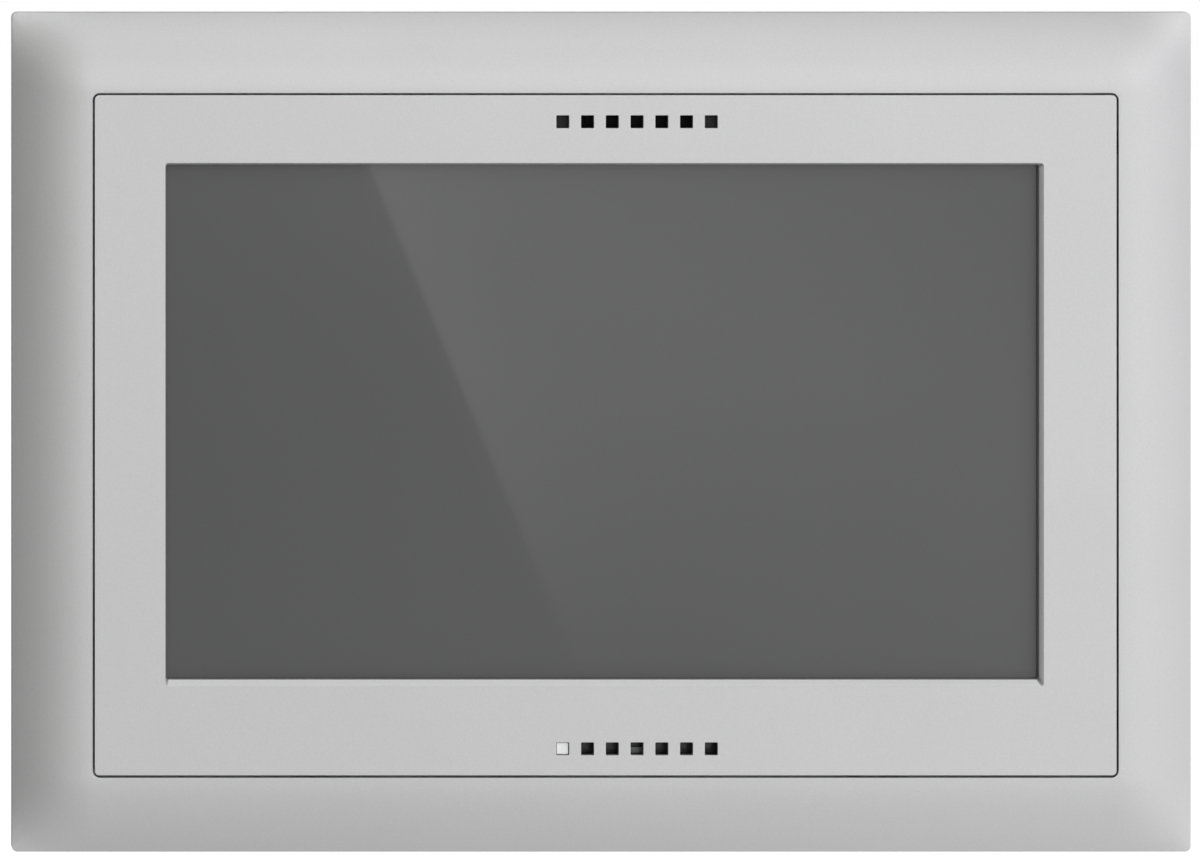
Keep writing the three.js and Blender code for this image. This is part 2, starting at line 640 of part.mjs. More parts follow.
// Plug-in terminal block: nose, body, wire funnels and screw wells.
function powerPlug() {
  const { width, height, depth, wall } = POWER;
  const inset = 2 * (wall + PLUG.play);
  const mouth = ON_BOARD + depth;
  const rear = REAR.back + PLUG.proud;
  const body = join(
    post(width - inset, height - inset, ON_BOARD + PLUG.nose, mouth + CLEAR),
    post(width, height + PLUG.extra, mouth + 4 * GAP, rear));
  const { contact, funnelWidth, funnelHeight, funnelZ } = PLUG;
  const funnel = [REAR.back - PLUG.funnelDepth, rear + OVER];
  const well = [REAR.back - PLUG.wellDepth, rear + OVER];
  return cut(
    body,
    ...atPoles((x) => post(contact, contact, ON_BOARD, mouth + contact, [x, 0])),
    ...atPoles((x) => post(funnelWidth, funnelHeight, ...funnel, [x, funnelZ])),
    ...atPoles((x) => rod(PLUG.well, ...well, [x, PLUG.screwZ])));
}

// Clamping screw in the plug's well: a slotted cheese head.
function plugScrew() {
  const { screw, screwTop, wellDepth, slot, slotDepth } = PLUG;
  const top = REAR.back + screwTop;
  return cut(
    rod(screw, REAR.back - wellDepth + GAP, top),
    post(2 * screw + OVER, slot, top - slotDepth, top + OVER));
}

// Two contact pins on a moulded foot.
function busPins() {
  const { radius, foot, footHeight, length } = BUS_PIN;
  const pins = [-1, 1].map((side) =>
    rod(radius, ON_BOARD + footHeight - SINK, BUS.front + length, [(side * BUS.spacing) / 2, 0], 12));
  return join(post(2 * BUS.spacing + 1, foot, ON_BOARD, ON_BOARD + footHeight), ...pins);
}

// One half of the bus terminal: four wire holes at the rear and the pin hole in front.
function busTerminalHalf() {
  const { width, height, front, back } = BUS;
  const { radius, depth } = BUS_WIRE;
  const wireHoles = atCorners(BUS_WIRE, (at) => rod(radius, back - depth, back + OVER, at, 10));
  return cut(
    post(width, height, front, back),
    rod(BUS_PIN.hole, front - OVER, front + BUS_PIN.length + SINK, [0, 0], 12),
    ...wireHoles);
}

// Holder with a round well, cut away on one side to lift the cell out.
function cellHolder() {
  const { radius, holder, holderTop, floor, slot } = COIN;
  const well = [ON_BOARD + floor, ON_BOARD + holderTop + OVER];
  return cut(
    post(holder, holder, ON_BOARD, ON_BOARD + holderTop),
    rod(radius + CLEAR, ...well, [0, 0], 28),
    post(slot, slot, ...well, [holder / 2, 0]));
}

function coinCell() {
  const { radius, rim, thickness, base, floor } = COIN;
  const bottom = ON_BOARD + floor;
  return join(
    rod(radius, bottom + base, bottom + thickness, [0, 0], 28),
    rod(radius - rim, bottom + GAP, bottom + base + 2 * GAP, [0, 0], 28));
}

// Electrolytic capacitor: a moulded foot and a can with a narrow waist.
function capacitor() {
  const { foot, footHeight, waist, waistTop, can, height } = CAPACITOR;
  return join(
    post(foot, foot, ON_BOARD, ON_BOARD + footHeight),
    rod(waist, ON_BOARD + footHeight - 4 * GAP, ON_BOARD + waistTop),
    rod(can, ON_BOARD + waistTop - 4 * GAP, ON_BOARD + height));
}

// Power inductor: a square core with bevelled corners and a round cap.
function inductor() {
  const { side, corner, height, cap, capHeight } = INDUCTOR;
  return join(
    plate(side, side, corner, ON_BOARD, ON_BOARD + height, [0, 0], 1),
    rod(cap, ON_BOARD + height - OVER, ON_BOARD + capHeight));
}

function programSwitch() {
  const { switchSide, switchHeight, plunger, plungerTop } = PROGRAM;
  return join(
    post(switchSide, switchSide, ON_BOARD, ON_BOARD + switchHeight),
    rod(plunger, ON_BOARD + switchHeight - SINK, ON_BOARD + plungerTop));
}

// Diode on a tall light guide that ends just behind the rear cover's hole.
const programLed = () =>
  join(
    rod(PROGRAM.ledBase, ON_BOARD, ON_BOARD + OVER),
    rod(PROGRAM.led, ON_BOARD + SINK, REAR.inner - 2));

// Round push button with the collar that keeps it behind the rear cover.
function programButton() {
  const { stem, stemFrom, collar, collarDepth, play, cap, proud } = BUTTON;
  return join(
    rod(stem, ON_BOARD + stemFrom, REAR.inner, [0, 0], 20),
    rod(collar, REAR.inner - collarDepth, REAR.inner - play, [0, 0], 20),
    rod(cap, REAR.inner - SINK, REAR.back + proud, [0, 0], 20));
}

function processor() {
  const { base, baseDepth, die, depth } = PROCESSOR;
  return join(
    post(base, base, BOARD.front - baseDepth, BOARD.front - GAP),
    post(die, die, BOARD.front - depth, BOARD.front - baseDepth + 2 * GAP));
}

// Heat spreader on the processor: a plate with low fins towards the display.
function heatSpreader() {
  const { width, height, plate: thick, fins, finWidth, finPitch, depth } = SPREADER;
  const back = BOARD.front - PROCESSOR.depth - GAP;
  const ribs = Array.from({ length: fins }, (_, i) =>
    post(finWidth, height, back - depth, back - thick + 2 * GAP, [(i - (fins - 1) / 2) * finPitch, 0]));
  return join(post(width, height, back - thick, back), ...ribs);
}

// ---------------------------------------------------------------- ribbon cables

// A ribbon that runs up at one depth, crosses to the main board's front and runs up again.
function ribbon({ near, low, bend, high, from, to }) {
  const t = RIBBON.thickness;
  const far = BOARD.front - CLEAR;
  return strip(
    [
      [near, low], [near + t, low], [near + t, bend], [far, bend], [far, high], [far - t, high],
      [far - t, bend + t], [near, bend + t],
    ],
    from, to);
}

// From the display module's rear, through the carrier, up to the main board.
const lcdCable = () =>
  ribbon({ near: LCD.front + LCD.depth + RIBBON.off, low: -30, bend: -24, high: -15, from: 20, to: 44 });

// From the small front board, past the display module, to the main board.
function frontCable() {
  const near = FRONT_BOARD.front + FRONT_BOARD.thickness + RIBBON.off;
  return ribbon({ near, low: -55, bend: -51.6, high: -34, from: 16, to: 24 });
}

// ---------------------------------------------------------------- rear cover

// The rows of cooling slots in the rear face and in the upper and lower sides.
function coolingSlots(y0, y1) {
  const { count, pitch, width, height, z, sideFrom, sideTo } = COOLING;
  const slots = [];
  for (let i = 0; i < count; i++) {
    const x = (i - (count - 1) / 2) * pitch;
    slots.push(post(width, height, y0, y1, [x, z]));
    for (const side of [1, -1]) {
      slots.push(post(width, 2 * REAR.wall + 2 * OVER, sideFrom, sideTo, [x, (side * REAR.height) / 2]));
    }
  }
  return slots;
}

// Rear shell: connector openings, cooling slots, screw holes and channels for the springs.
function rearCover() {
  const { width, height, front, back, wall, corner, inner } = REAR;
  const through = [inner - OVER, back + OVER];
  const opening = (w, h, at, play) => post(w + 2 * play, h + 2 * play, ...through, at);
  return cut(
    plate(width, height, corner, front, back),
    plate(width - 2 * wall, height - 2 * wall, corner - wall / 2, front - OVER, inner),
    opening(ETHERNET.width, ETHERNET.height, AT.ethernet, SINK),
    opening(USB.width, USB.height, AT.usb, SINK),
    opening(POWER.width, POWER.height + PLUG.extra, AT.power, 2 * CLEAR),
    opening(2 * BUS.spacing, BUS.height, AT.bus, 2 * CLEAR),
    rod(BUTTON.cap + 5 * GAP, ...through, AT.programButton, 20),
    rod(PROGRAM.led + 4 * GAP, ...through, AT.programLed, 20),
    ...atCorners(COVER_SCREW, (at) => rod(COVER_SCREW.shank + 4 * GAP, ...through, at, 14)),
    ...coolingSlots(...through),
    ...atCorners({ x: width / 2, z: SPRING.z }, (at) =>
      post(2 * SPRING.bump - wall / 2 - SINK / 2, SPRING.width + 2 * OVER, front - OVER, back + OVER, at)));
}

// ---------------------------------------------------------------- assembly

function add(group, name, geometry, material, position = [0, 0, 0], turn = [0, 0, 0]) {
  const mesh = new THREE.Mesh(geometry, material);
  mesh.name = name;
  mesh.position.set(...position);
  mesh.rotation.set(...turn);
  group.add(mesh);
}

const spot = ([x, z], y = 0) => [x, y, z];
const ABOUT_FACE = [0, 0, Math.PI];

function wallMount() {
  const group = new THREE.Group();
  add(group, "mounting_frame", mountingFrame(), LOOK.zincSteel);
  const screw = panScrew(WALL_SCREW);
  const spring = retainingSpring();
  const seatX = PLATE.openWidth / 2 - SPRING.inset;
  CORNERS.forEach(([sx, sz], i) => {
    const head = [sx * WALL_SCREW.x, -PLATE.thickness - GAP, sz * WALL_SCREW.z];
    add(group, `wall_screw_${i + 1}`, screw, LOOK.screwSteel, head);
    const [seat, turn] = [[sx * seatX, GAP, sz * SPRING.z], [0, sx > 0 ? 0 : Math.PI, 0]];
    add(group, `retaining_spring_${i + 1}`, spring, LOOK.springSteel, seat, turn);
  });
  return group;
}

function coverGroup() {
  const group = new THREE.Group();
  add(group, "cover_frame", coverFrame(), LOOK.lacquer);
  return group;
}

function frontPieces(group) {
  const [microphoneX, rowZ] = MICROPHONE_AT;
  add(group, "bezel", bezel(), LOOK.lacquer);
  add(group, "window_gasket", windowGasket(), LOOK.foam);
  add(group, "touch_glass", touchGlass(), LOOK.glass);
  add(group, "lcd_cell", lcdCell(), LOOK.cell);
  add(group, "lcd_frame", lcdFrame(), LOOK.zincSteel);
  add(group, "backlight_panel", backlightPanel(), LOOK.backlight);
  add(group, "carrier_frame", carrierFrame(), LOOK.blackPlastic);
  add(group, "speaker_housing", speakerHousing(), LOOK.blackPlastic);
  add(group, "speaker_diaphragm", speakerDiaphragm(), LOOK.diaphragm);
  add(group, "speaker_magnet", speakerMagnet(), LOOK.springSteel);
  add(group, "front_board", frontBoard(), LOOK.blackBoard);
  add(group, "microphone", microphone(), LOOK.darkSteel, [microphoneX, 0, rowZ - MICROPHONE.drop]);
  add(group, "key_switch", keySwitch(), LOOK.blackPlastic, spot(KEY_AT));
  add(group, "status_led", statusLed(), LOOK.diode, [KEY_AT[0] + STATUS_LED.beside, 0, rowZ]);
  add(group, "front_cable", frontCable(), LOOK.flex);
}

function boardPieces(group) {
  add(group, "main_board", mainBoard(), LOOK.board);
  add(group, "processor", processor(), LOOK.chip, spot(AT.processor));
  add(group, "heat_spreader", heatSpreader(), LOOK.aluminium, spot(AT.processor));
  AT.capacitors.forEach((at, i) => add(group, `capacitor_${i + 1}`, capacitor(), LOOK.canSleeve, spot(at)));
  add(group, "inductor", inductor(), LOOK.chip, spot(AT.inductor));
  add(group, "ethernet_jack", ethernetJack(), LOOK.aluminium, spot(AT.ethernet));
  add(group, "usb_port", usbPort(), LOOK.aluminium, spot(AT.usb));
  add(group, "power_socket", powerSocket(), LOOK.green, spot(AT.power));
  add(group, "bus_pins", busPins(), LOOK.gold, spot(AT.bus));
  add(group, "cell_holder", cellHolder(), LOOK.blackPlastic, spot(AT.cell));
  add(group, "coin_cell", coinCell(), LOOK.springSteel, spot(AT.cell));
  add(group, "program_switch", programSwitch(), LOOK.blackPlastic, spot(AT.programButton));
  add(group, "program_led", programLed(), LOOK.redDiode, spot(AT.programLed));
  add(group, "lcd_cable", lcdCable(), LOOK.flex);
  add(group, "rear_cover", rearCover(), LOOK.greyPlastic);
}

function unitScrews(group) {
  const coverScrew = panScrew(COVER_SCREW);
  const flush = countersunkScrew();
  const boardScrew = panScrew(BOARD_SCREW);
  CORNERS.forEach(([sx, sz], i) => {
    const seat = [sx * COVER_SCREW.x, REAR.back + GAP, sz * COVER_SCREW.z];
    add(group, `cover_screw_${i + 1}`, coverScrew, LOOK.screwSteel, seat, ABOUT_FACE);
    const flange = [sx * BEZEL_SCREW.x, CARRIER.front + CARRIER.flange, sz * BEZEL_SCREW.z];
    add(group, `bezel_screw_${i + 1}`, flush, LOOK.screwSteel, flange);
  });
  [1, -1].forEach((side, i) => {
    const seat = [side * BOARD_SCREW.x, BOARD.back + GAP, side * BOARD_SCREW.z];
    add(group, `board_screw_${i + 1}`, boardScrew, LOOK.screwSteel, seat, ABOUT_FACE);
  });
}

function statusKeyGroup() {
  const group = new THREE.Group();
  add(group, "status_key", statusKey(), LOOK.clearKey);
  group.position.set(...spot(KEY_AT));
  return group;
}

function programButtonGroup() {
  const group = new THREE.Group();
  add(group, "program_button", programButton(), LOOK.paleGrey);
  group.position.set(...spot(AT.programButton));
  return group;
}

function powerPlugGroup() {
  const group = new THREE.Group();
  add(group, "power_plug", powerPlug(), LOOK.green);
  [-POWER.pole, POWER.pole].forEach((x, i) =>
    add(group, `plug_screw_${i + 1}`, plugScrew(), LOOK.screwSteel, [x, 0, PLUG.screwZ]));
  group.position.set(...spot(AT.power));
  return group;
}

function busTerminalGroup() {
  const group = new THREE.Group();
  const half = busTerminalHalf();
  add(group, "bus_terminal_red", half, LOOK.red, [BUS.spacing / 2, 0, 0]);
  add(group, "bus_terminal_grey", half, LOOK.paleGrey, [-BUS.spacing / 2, 0, 0]);
  group.position.set(...spot(AT.bus));
  return group;
}

function displayUnit() {
  const group = new THREE.Group();
  frontPieces(group);
  boardPieces(group);
  unitScrews(group);
  group.add(statusKeyGroup(), programButtonGroup(), powerPlugGroup(), busTerminalGroup());
  return group;
}

const panel = new THREE.Group();
panel.add(wallMount(), coverGroup(), displayUnit());
const centre = new THREE.Box3().setFromObject(panel).getCenter(new THREE.Vector3());
panel.position.copy(centre).negate();

export default panel;
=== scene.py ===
import json
import math

import bmesh
import bpy
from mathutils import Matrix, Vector
from mathutils.geometry import tessellate_polygon


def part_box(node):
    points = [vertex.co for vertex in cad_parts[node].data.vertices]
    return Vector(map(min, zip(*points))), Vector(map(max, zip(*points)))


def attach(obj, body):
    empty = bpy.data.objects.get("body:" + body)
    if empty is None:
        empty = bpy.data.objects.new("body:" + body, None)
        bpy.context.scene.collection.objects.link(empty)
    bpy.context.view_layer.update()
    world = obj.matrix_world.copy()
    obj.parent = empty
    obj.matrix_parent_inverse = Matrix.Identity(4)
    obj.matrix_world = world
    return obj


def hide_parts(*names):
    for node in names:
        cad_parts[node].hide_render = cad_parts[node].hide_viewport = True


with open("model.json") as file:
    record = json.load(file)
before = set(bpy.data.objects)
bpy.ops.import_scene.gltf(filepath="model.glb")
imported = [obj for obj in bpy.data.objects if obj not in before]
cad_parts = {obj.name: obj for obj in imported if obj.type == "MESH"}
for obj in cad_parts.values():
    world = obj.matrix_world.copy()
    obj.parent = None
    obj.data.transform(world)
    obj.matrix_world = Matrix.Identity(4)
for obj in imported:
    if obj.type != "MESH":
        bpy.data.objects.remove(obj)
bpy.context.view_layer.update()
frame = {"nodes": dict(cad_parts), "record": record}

# Wall-mounted touch panel: looks for the CAD frame. Metres; the room is on the -Y side, Z is up.
MM = 0.001

# ---------------------------------------------------------------- places worked out from the frame

BEZEL_LO, BEZEL_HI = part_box("bezel")
COVER_LO, COVER_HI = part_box("cover_frame")
KEY_LO, KEY_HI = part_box("status_key")
MIC_LO, MIC_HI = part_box("microphone")
GLASS_LO, GLASS_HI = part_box("touch_glass")
CARRIER_LO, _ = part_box("carrier_frame")

FACE_Y = BEZEL_LO.y
WALL_Y = COVER_HI.y
KEY_X = (KEY_LO.x + KEY_HI.x) / 2
ROW_X = (MIC_LO.x + MIC_HI.x) / 2
ROW_Z = -(KEY_LO.z + KEY_HI.z) / 2
VENT_PITCH = (ROW_X - KEY_X) / 3
DISPLAY_Z = (GLASS_LO.z + GLASS_HI.z) / 2

# Sizes of the front that no node's box shows.
GROOVE = 0.35 * MM
SKIRT = 2.4 * MM
WINDOW_W, WINDOW_H = 156.85 * MM, 93.4 * MM
WINDOW_X = -0.22 * MM
WINDOW_CORNER, SEAT_CORNER = 0.5 * MM, 0.9 * MM
BEVEL_DEPTH = 0.6 * MM
BEVEL_LEFT, BEVEL_RIGHT = 0.14 * MM, 0.68 * MM
BEVEL_TOP, BEVEL_BOTTOM = 0.28 * MM, 1.08 * MM
GASKET_SLEEVE = 0.4 * MM
VENT_SIDE = 2.3 * MM
VENT_COUNT = 7
PLATE = 1.6 * MM
TRAY_WALL, TRAY_CORNER = 1.5 * MM, 0.6 * MM
BOSS, PILOT = 2.4 * MM, 0.95 * MM
BOSS_ROOT, BOSS_GAP, BOSS_EDGE = 0.2 * MM, 0.05 * MM, 0.2 * MM
HOOK_INSET, HOOK_ON_SIDE, HOOK_ON_TOP = 10 * MM, 35 * MM, 50 * MM
HOOK_THICK, HOOK_WIDE = 1.6 * MM, 10 * MM
HOOK_TIP, HOOK_ROOT, HOOK_WEDGE = 0.3 * MM, 4.9 * MM, 0.35 * MM

BAND = (COVER_HI.x - COVER_LO.x - (BEZEL_HI.x - BEZEL_LO.x)) / 2 - GROOVE
RISE = COVER_HI.y - COVER_LO.y - SKIRT

# ---------------------------------------------------------------- material helpers


class Nodes:
    """A short way to write a node tree."""

    def __init__(self, tree):
        self.tree = tree
        tree.nodes.clear()

    def add(self, kind, values=None, **settings):
        node = self.tree.nodes.new(kind)
        for key, value in settings.items():
            setattr(node, key, value)
        for key, value in (values or {}).items():
            if isinstance(value, bpy.types.NodeSocket):
                self.tree.links.new(value, node.inputs[key])
            else:
                node.inputs[key].default_value = value
        return node

    def math(self, operation, a, b=0.0):
        return self.add("ShaderNodeMath", {0: a, 1: b}, operation=operation).outputs[0]

    def position(self):
        return self.add("ShaderNodeTexCoord").outputs["Object"]

    def noise(self, size, detail=2.0, roughness=0.5, stretch=(1, 1, 1)):
        """Noise with features of about the given size in metres, stretched along the axes."""
        scale = [1 / (size * s) for s in stretch]
        scaled = self.add("ShaderNodeMapping", {"Vector": self.position(), "Scale": scale})
        values = {"Vector": scaled.outputs[0], "Scale": 1.0, "Detail": detail, "Roughness": roughness}
        return self.add("ShaderNodeTexNoise", values).outputs["Fac"]

    def spread(self, factor, low, high, from_low=0.3, from_high=0.7):
        """The factor mapped to a range; without limits, from the range that noise mostly fills."""
        values = {0: factor, 1: from_low, 2: from_high, 3: low, 4: high}
        return self.add("ShaderNodeMapRange", values).outputs[0]

    def tint(self, color, factor):
        """A colour multiplied by a grey factor."""
        mixed = self.add("ShaderNodeVectorMath", {0: color[:3], 3: factor}, operation="SCALE")
        return mixed.outputs[0]

    def bump(self, height, distance, edge=0.0):
        """Surface relief, on top of edges that look rounded when an edge radius is given."""
        values = {"Height": height, "Distance": distance}
        if edge:
            values["Normal"] = self.add("ShaderNodeBevel", {"Radius": edge}, samples=8).outputs[0]
        return self.add("ShaderNodeBump", values).outputs[0]

    def surface(self, **values):
        names = {key.replace("_", " "): value for key, value in values.items()}
        shader = self.add("ShaderNodeBsdfPrincipled", names)
        self.add("ShaderNodeOutputMaterial", {"Surface": shader.outputs[0]})
        return shader


def material(name):
    made = bpy.data.materials.new(name)
    made.use_nodes = True
    return made, Nodes(made.node_tree)


# ---------------------------------------------------------------- materials


def silver_lacquer():
    """Satin metallic lacquer: fine flakes, a slight orange peel and uneven gloss."""
    made, n = material("silver_lacquer")
    flakes = n.noise(0.16 * MM, detail=1.0)
    cloud = n.noise(30 * MM, detail=2.0)
    shade = n.math("MULTIPLY", n.spread(flakes, 0.95, 1.05), n.spread(cloud, 0.99, 1.01))
    peel = n.noise(0.5 * MM, detail=2.0)
    n.surface(
        Base_Color=n.tint((0.6, 0.6, 0.604), shade),
        Metallic=0.25,
        Roughness=n.spread(flakes, 0.4, 0.5),
        Normal=n.bump(peel, 0.004 * MM),
    )
    return made


def display_glass():
    """The dark front of a display that is off."""
    made, n = material("display_glass")
    cloud = n.noise(60 * MM)
    n.surface(
        Base_Color=n.tint((0.091, 0.0915, 0.092), n.spread(cloud, 0.98, 1.02)),
        Roughness=0.03,
        IOR=1.5,
    )
    return made


def moulded(name, color, roughness=0.55, grain=0.25 * MM, gloss=0.5, edge=0.0):
    """Moulded plastic with a fine spark-eroded texture."""
    made, n = material(name)
    texture = n.noise(grain, detail=3.0, roughness=0.6)
    cloud = n.noise(20 * MM)
    n.surface(
        Base_Color=n.tint(color, n.spread(cloud, 0.95, 1.05)),
        Roughness=n.spread(texture, roughness - 0.06, roughness + 0.08),
        Specular_IOR_Level=gloss,
        Normal=n.bump(texture, 0.02 * MM, edge),
    )
    return made


def metal(name, color, roughness=0.3, stretch=(1, 1, 1)):
    """Bare or plated metal with fine handling marks."""
    made, n = material(name)
    marks = n.noise(0.4 * MM, detail=4.0, stretch=stretch)
    cloud = n.noise(9 * MM, detail=3.0)
    n.surface(
        Base_Color=n.tint(color, n.spread(cloud, 0.9, 1.06)),
        Metallic=1.0,
        Roughness=n.spread(marks, roughness - 0.07, roughness + 0.12),
        Normal=n.bump(marks, 0.0007 * MM),
    )
    return made


def zinc_sheet():
    """Zinc-plated sheet with a soft crystalline spangle."""
    made, n = material("zinc_steel")
    values = {"Vector": n.position(), "Scale": 1 / (5 * MM)}
    spangle = n.add("ShaderNodeTexVoronoi", values).outputs["Color"]
    grey = n.add("ShaderNodeSeparateColor", {0: spangle}).outputs[0]
    marks = n.noise(0.6 * MM, detail=4.0)
    n.surface(
        Base_Color=n.tint((0.46, 0.47, 0.48), n.spread(grey, 0.88, 1.08, 0.0, 1.0)),
        Metallic=0.9,
        Roughness=n.math("ADD", n.spread(grey, 0.32, 0.42, 0.0, 1.0), n.spread(marks, -0.03, 0.05)),
        Normal=n.bump(marks, 0.003 * MM),
    )
    return made


def light_guide():
    """Milky translucent plastic."""
    made, n = material("light_guide")
    cloud = n.noise(1.2 * MM)
    n.surface(
        Base_Color=n.tint((0.93, 0.94, 0.94), n.spread(cloud, 0.97, 1.02)),
        Roughness=0.3,
        Subsurface_Weight=0.3,
        Subsurface_Radius=(0.8 * MM, 0.8 * MM, 0.8 * MM),
        Subsurface_Scale=1.0,
    )
    return made


def solder_mask(name, color):
    """Circuit board: coloured mask over faint copper tracks."""
    made, n = material(name)
    values = {"Vector": n.position(), "Scale": 1 / (2.5 * MM), "Randomness": 0.6}
    tracks = n.add("ShaderNodeTexVoronoi", values, feature="DISTANCE_TO_EDGE").outputs["Distance"]
    track = n.spread(tracks, 1.5, 0.9, 0.03, 0.08)
    n.surface(
        Base_Color=n.tint(color, track),
        Roughness=0.35,
        Coat_Weight=0.4,
        Normal=n.bump(track, 0.02 * MM),
    )
    return made


MATERIALS = {
    "silver_lacquer": silver_lacquer(),
    "display_glass": display_glass(),
    "display_cell": moulded("display_cell", (0.03, 0.032, 0.035), 0.25),
    "foam": moulded("foam", (0.29, 0.29, 0.295), 0.9, 0.4 * MM, gloss=0.2),
    "black_plastic": moulded("black_plastic", (0.02, 0.02, 0.021), 0.55, gloss=0.25),
    "grey_plastic": moulded("grey_plastic", (0.11, 0.113, 0.118), 0.55, edge=0.5 * MM),
    "backlight": moulded("backlight", (0.75, 0.76, 0.74), 0.4),
    "zinc_steel": zinc_sheet(),
    "spring_steel": metal("spring_steel", (0.4, 0.41, 0.42), 0.34, (1, 8, 1)),
    "screw_steel": metal("screw_steel", (0.58, 0.58, 0.58), 0.25),
    "aluminium": metal("aluminium", (0.66, 0.67, 0.68), 0.33, (8, 1, 1)),
    "board": solder_mask("board", (0.012, 0.12, 0.05)),
    "black_board": solder_mask("black_board", (0.008, 0.008, 0.009)),
    "dark_steel": metal("dark_steel", (0.16, 0.165, 0.17), 0.4),
    "chip": moulded("chip", (0.016, 0.016, 0.018), 0.45, 0.15 * MM),
    "capacitor_can": moulded("capacitor_can", (0.02, 0.03, 0.06), 0.3),
    "light_guide": light_guide(),
    "diode": moulded("diode", (0.85, 0.8, 0.55), 0.2),
    "red_diode": moulded("red_diode", (0.6, 0.03, 0.02), 0.2),
    "flex": moulded("flex", (0.5, 0.22, 0.05), 0.3),
    "green_plastic": moulded("green_plastic", (0.04, 0.27, 0.08), 0.45),
    "red_plastic": moulded("red_plastic", (0.42, 0.015, 0.02), 0.4),
    "pale_grey_plastic": moulded("pale_grey_plastic", (0.5, 0.51, 0.52), 0.45),
    "contacts": metal("contacts", (0.75, 0.5, 0.14), 0.22),
    "diaphragm": moulded("diaphragm", (0.009, 0.009, 0.009), 0.85, gloss=0.1),
}

# ---------------------------------------------------------------- mesh helpers


def rounded_loop(half_w, half_h, radius, centre=(0, 0), arc_steps=6):
    """Outline of a rounded rectangle as (x, z) pairs, counter-clockwise as seen from the room."""
    points = []
    for quarter, (sx, sz) in enumerate([(1, 1), (-1, 1), (-1, -1), (1, -1)]):
        cx = centre[0] + sx * (half_w - radius)
        cz = centre[1] + sz * (half_h - radius)
        for i in range(arc_steps + 1):
            angle = math.radians(90) * (quarter + i / arc_steps)
            points.append((cx + radius * math.cos(angle), cz + radius * math.sin(angle)))
    return points


class Builder:
    """Collects loops of points and the faces between them into one mesh."""

    def __init__(self):
        self.verts = []
        self.faces = []

    def loop(self, outline, y):
        """Adds a closed loop at one depth, or with a depth for each point, and returns its indices."""
        start = len(self.verts)
        depths = y if isinstance(y, list) else [y] * len(outline)
        self.verts += [(x, depth, z) for (x, z), depth in zip(outline, depths)]
        return list(range(start, len(self.verts)))

    def skin(self, loops):
        """Quads between each loop and the next."""
        for here, there in zip(loops, loops[1:]):
            count = len(here)
            for i in range(count):
                j = (i + 1) % count
                self.faces.append((here[i], here[j], there[j], there[i]))

    def fill(self, outer, holes=()):
        """A flat face inside the outer loop and outside the holes."""
        rings = [list(outer)] + [list(h) for h in holes]
        order = [i for ring in rings for i in ring]
        points = [[Vector(self.verts[i]) for i in ring] for ring in rings]
        for triangle in tessellate_polygon(points):
            self.faces.append(tuple(order[i] for i in triangle))

    def piece(self, name, body, slot):
        mesh = bpy.data.meshes.new(name)
        mesh.from_pydata(self.verts, [], self.faces)
        work = bmesh.new()
        work.from_mesh(mesh)
        bmesh.ops.recalc_face_normals(work, faces=work.faces)
        work.to_mesh(mesh)
        work.free()
        made = bpy.data.objects.new(name, mesh)
        bpy.context.scene.collection.objects.link(made)
        mesh.materials.append(MATERIALS[slot])
        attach(made, body)
        smooth(made)
        return made


def smooth(piece):
    """Smooth shading whose normals follow the large faces."""
    piece.data.polygons.foreach_set("use_smooth", [True] * len(piece.data.polygons))
    modifier = piece.modifiers.new("normals", "WEIGHTED_NORMAL")
    modifier.weight = 100
    modifier.keep_sharp = True


def fillet_steps(radius, steps=4):
    """Pairs of how far a rounded edge has gone in and how far it has dropped, from the flat to the wall."""
    angles = [math.radians(90) * i / steps for i in range(steps + 1)]
    return [(radius * (1 - math.sin(a)), radius * (1 - math.cos(a))) for a in angles]


# ---------------------------------------------------------------- bezel

BEZEL_CORNER = 0.8 * MM
BEZEL_FILLET = 0.08 * MM
WINDOW_FILLET = 0.1 * MM
VENT_FILLET = 0.05 * MM
VENT_CORNER = 0.15 * MM


def bezel():
    """The display unit's front frame as one closed tray with its window and vents."""
    b = Builder()
    half_w, half_h = (BEZEL_HI.x - BEZEL_LO.x) / 2, (BEZEL_HI.z - BEZEL_LO.z) / 2
    inner_y = FACE_Y + PLATE
    back_y = BEZEL_HI.y

    outside = []
    for inset, drop in fillet_steps(BEZEL_FILLET):
        radius = BEZEL_CORNER - inset
        outside.append(b.loop(rounded_loop(half_w - inset, half_h - inset, radius), FACE_Y + drop))
    outside.append(b.loop(rounded_loop(half_w, half_h, BEZEL_CORNER), back_y))
    inside = rounded_loop(half_w - TRAY_WALL, half_h - TRAY_WALL, TRAY_CORNER)
    outside += [b.loop(inside, back_y), b.loop(inside, inner_y)]
    b.skin(outside)

    window = window_loops(b)
    b.skin(window)

    front_holes, back_holes = [window[0]], [window[-1]]
    side = VENT_SIDE / 2
    for at in vent_places():
        loops = []
        for inset, drop in fillet_steps(VENT_FILLET, 3):
            outline = rounded_loop(side + inset, side + inset, VENT_CORNER + inset, at, 3)
            loops.append(b.loop(outline, FACE_Y + drop))
        loops.append(b.loop(rounded_loop(side, side, VENT_CORNER, at, 3), inner_y))
        b.skin(loops)
        front_holes.append(loops[0])
        back_holes.append(loops[-1])
    b.fill(outside[0], front_holes)
    b.fill(outside[-1], back_holes)
    made = b.piece("bezel_tray", "display_unit", "silver_lacquer")
    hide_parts("bezel")


